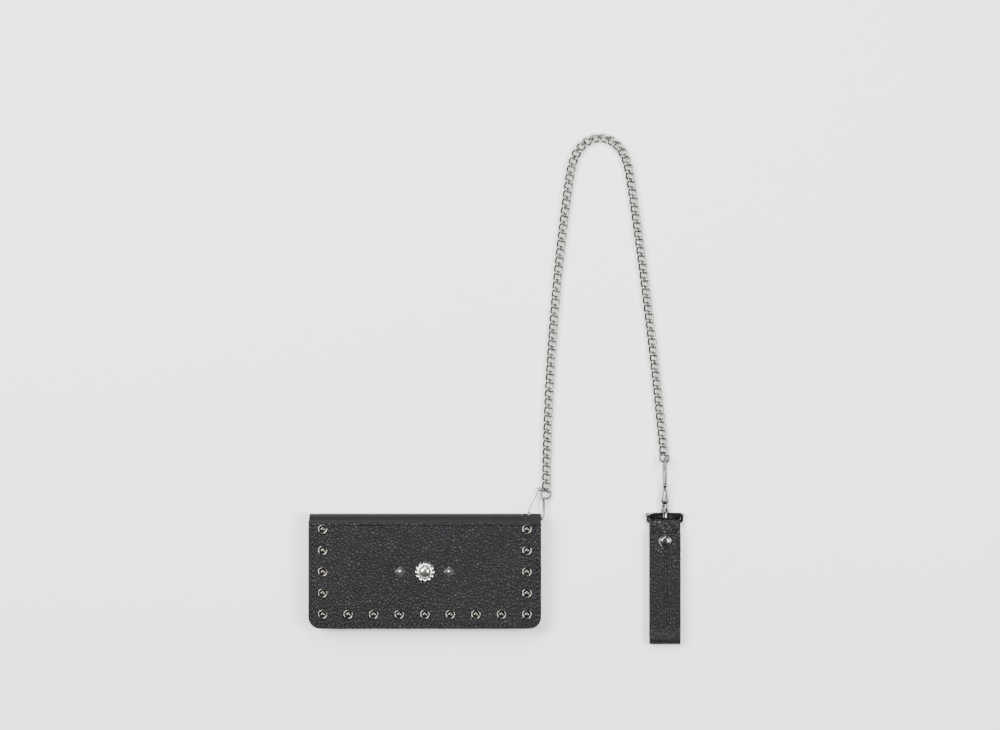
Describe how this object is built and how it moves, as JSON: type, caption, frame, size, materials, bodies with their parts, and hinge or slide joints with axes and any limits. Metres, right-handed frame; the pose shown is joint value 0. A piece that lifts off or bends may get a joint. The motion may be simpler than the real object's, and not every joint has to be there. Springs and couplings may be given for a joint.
{
  "type": "chain wallet",
  "caption": "Long bifold leather wallet with domed studs, a zipped coin pocket, a curb chain on two spring hooks and a snap belt strap.",
  "frame": {"origin": "centre of the outer face of the wallet's back cover, which rests on the table", "axes": "+X along the fold towards the hook end, +Y from the free edge towards the fold, +Z out of the front cover"},
  "size_m": [0.3154, 0.4309, 0.0206],
  "materials": {
    "grained_leather": "black pebbled cowhide, satin finish",
    "smooth_leather": "black smooth calf, lightly waxed edge",
    "lining_leather": "charcoal split leather, matt",
    "zip_tape": "woven black polyester tape",
    "zip_metal": "nickel-plated brass",
    "nickel_plate": "bright nickel plate on steel, barrel polished",
    "polished_silver": "cast alloy, silver plated and polished",
    "dark_cap": "black nickel plate, polished",
    "rivet_steel": "tumbled steel"
  },
  "bodies": {
    "back_leaf": {"back_cover": "grained_leather", "back_lining": "lining_leather", "back_pocket_edge": "smooth_leather", "note_divider": "lining_leather", "coin_pocket_back": "lining_leather", "coin_pocket_front": "lining_leather", "zip_tapes": "zip_tape", "zip_teeth": "zip_metal", "zip_stops": "zip_metal", "hitch_tab": "smooth_leather", "hitch_eyelet": "nickel_plate"},
    "slider": {"zip_slider": "zip_metal"},
    "pull": {"zip_pull": "zip_metal"},
    "fold": {"fold_cover": "smooth_leather", "fold_lining": "lining_leather"},
    "front_leaf": {"front_cover": "grained_leather", "front_lining": "lining_leather", "front_pocket_edge": "smooth_leather", "card_panel_1": "lining_leather", "card_panel_2": "lining_leather", "card_panel_3": "lining_leather", "card_panel_4": "lining_leather", "studs": "nickel_plate", "stud_washers": "rivet_steel", "concho": "polished_silver", "diamond_studs": "polished_silver", "ornament_washers": "rivet_steel"},
    "hook": {"wallet_hook": "nickel_plate", "wallet_hook_rivet": "rivet_steel"},
    "hook_gate_wire": {"wallet_hook_gate": "nickel_plate"},
    "chain_01_links": {"chain_01": "nickel_plate"},
    "chain_02_links": {"chain_02": "nickel_plate"},
    "chain_03_links": {"chain_03": "nickel_plate"},
    "chain_04_links": {"chain_04": "nickel_plate"},
    "chain_05_links": {"chain_05": "nickel_plate"},
    "chain_06_links": {"chain_06": "nickel_plate"},
    "chain_07_links": {"chain_07": "nickel_plate"},
    "chain_08_links": {"chain_08": "nickel_plate"},
    "chain_09_links": {"chain_09": "nickel_plate"},
    "chain_10_links": {"chain_10": "nickel_plate"},
    "chain_11_links": {"chain_11": "nickel_plate"},
    "chain_12_links": {"chain_12": "nickel_plate"},
    "ring": {"strap_ring": "nickel_plate"},
    "strap_hook_body": {"strap_hook": "nickel_plate", "strap_hook_rivet": "rivet_steel"},
    "strap_hook_gate_body": {"strap_hook_gate": "nickel_plate"},
    "loop": {"strap_loop": "nickel_plate"},
    "strap": {"strap_body": "grained_leather", "snap_stud": "rivet_steel"},
    "flap": {"strap_flap": "grained_leather", "snap_cap": "dark_cap", "snap_socket": "rivet_steel"}
  },
  "joints": [
    {"name": "fold_bend_back", "type": "hinge", "parent": "back_leaf", "child": "fold", "pos_m": [0, 0.042, 0], "axis": [-1, 0, 0], "range_deg": [0, 56]},
    {"name": "fold_bend_front", "type": "hinge", "parent": "fold", "child": "front_leaf", "pos_m": [0, 0.042, 0.018], "axis": [-1, 0, 0], "range_deg": [0, 84]},
    {"name": "zip_slide", "type": "slide", "parent": "back_leaf", "child": "slider", "axis": [-1, 0, 0], "range_m": [0, 0.145]},
    {"name": "zip_pull_lift", "type": "hinge", "parent": "slider", "child": "pull", "pos_m": [0.0739, 0.01, 0.00946], "axis": [0, 1, 0], "range_deg": [0, 5]},
    {"name": "hook_swing", "type": "hinge", "parent": "back_leaf", "child": "hook", "pos_m": [0.0937, 0.0416, 0.0071], "axis": [0, 0, 1], "range_deg": [-15, 6]},
    {"name": "hook_gate", "type": "hinge", "parent": "hook", "child": "hook_gate_wire", "pos_m": [0.09618, 0.06834, 0.00301], "axis": [0, 0.1513, 0.9885], "range_deg": [0, 20], "stiffness_Nm_per_rad": 0.02},
    {"name": "chain_bend_01", "type": "hinge", "parent": "hook", "child": "chain_01_links", "pos_m": [0.1021, 0.06764, 0.00282], "axis": [0, 0, 1], "range_deg": [-10, 10]},
    {"name": "chain_bend_02", "type": "hinge", "parent": "chain_01_links", "child": "chain_02_links", "pos_m": [0.10313, 0.11697, 0.00282], "axis": [0, 0, -1], "range_deg": [-20.2, 19.8]},
    {"name": "chain_bend_03", "type": "hinge", "parent": "chain_02_links", "child": "chain_03_links", "pos_m": [0.10537, 0.16627, 0.00282], "axis": [0, 0, 1], "range_deg": [-19.8, 20.2]},
    {"name": "chain_bend_04", "type": "hinge", "parent": "chain_03_links", "child": "chain_04_links", "pos_m": [0.10881, 0.2155, 0.00282], "axis": [0, 0, -1], "range_deg": [-20.2, 19.8]},
    {"name": "chain_bend_05", "type": "hinge", "parent": "chain_04_links", "child": "chain_05_links", "pos_m": [0.11346, 0.26463, 0.00282], "axis": [0, 0, 1], "range_deg": [-14, 20.2]},
    {"name": "chain_bend_06", "type": "hinge", "parent": "chain_05_links", "child": "chain_06_links", "pos_m": [0.1193, 0.31363, 0.00282], "axis": [0, 0, -1], "range_deg": [-20.2, 14]},
    {"name": "chain_bend_07", "type": "hinge", "parent": "chain_06_links", "child": "chain_07_links", "pos_m": [0.13369, 0.35976, 0.00282], "axis": [0, 0, 1], "range_deg": [-2.8, 37.2]},
    {"name": "chain_bend_08", "type": "hinge", "parent": "chain_07_links", "child": "chain_08_links", "pos_m": [0.1706, 0.34281, 0.00282], "axis": [0, 0, -1], "range_deg": [-26.7, 13.3]},
    {"name": "chain_bend_09", "type": "hinge", "parent": "chain_08_links", "child": "chain_09_links", "pos_m": [0.17832, 0.29409, 0.00282], "axis": [0, 0, 1], "range_deg": [-14, 20.1]},
    {"name": "chain_bend_10", "type": "hinge", "parent": "chain_09_links", "child": "chain_10_links", "pos_m": [0.18489, 0.24518, 0.00282], "axis": [0, 0, -1], "range_deg": [-20.1, 14]},
    {"name": "chain_bend_11", "type": "hinge", "parent": "chain_10_links", "child": "chain_11_links", "pos_m": [0.19093, 0.1962, 0.00282], "axis": [0, 0, 1], "range_deg": [-19.9, 20.1]},
    {"name": "chain_bend_12", "type": "hinge", "parent": "chain_11_links", "child": "chain_12_links", "pos_m": [0.19642, 0.14716, 0.00282], "axis": [0, 0, -1], "range_deg": [-20.1, 19.9]},
    {"name": "ring_swing", "type": "hinge", "parent": "chain_12_links", "child": "ring", "pos_m": [0.20137, 0.09806, 0.00282], "axis": [0, 0, 1], "range_deg": [-4, 12]},
    {"name": "strap_hook_lift", "type": "hinge", "parent": "ring", "child": "strap_hook_body", "pos_m": [0.20197, 0.09088, 0.00547], "axis": [-1, 0, 0], "range_deg": [0, 40]},
    {"name": "strap_hook_gate_swing", "type": "hinge", "parent": "strap_hook_body", "child": "strap_hook_gate_body", "pos_m": [0.20197, 0.07128, 0.0072], "axis": [-1, 0, 0], "range_deg": [0, 20], "stiffness_Nm_per_rad": 0.02},
    {"name": "swivel_turn", "type": "hinge", "parent": "strap_hook_body", "child": "loop", "pos_m": [0.20197, 0.05558, 0.0046], "axis": [0, 1, 0], "continuous": true},
    {"name": "strap_swing", "type": "hinge", "parent": "loop", "child": "strap", "pos_m": [0.20197, 0.04068, 0.00345], "axis": [-1, 0, 0], "range_deg": [-60, 60]},
    {"name": "flap_open", "type": "hinge", "parent": "strap", "child": "flap", "pos_m": [0.20197, -0.05717, 0.0104], "axis": [1, 0, 0], "range_deg": [0, 150]}
  ],
  "couplings": [
    {"joint": "fold_bend_front", "follows": "fold_bend_back", "ratio": 1.5}
  ]
}
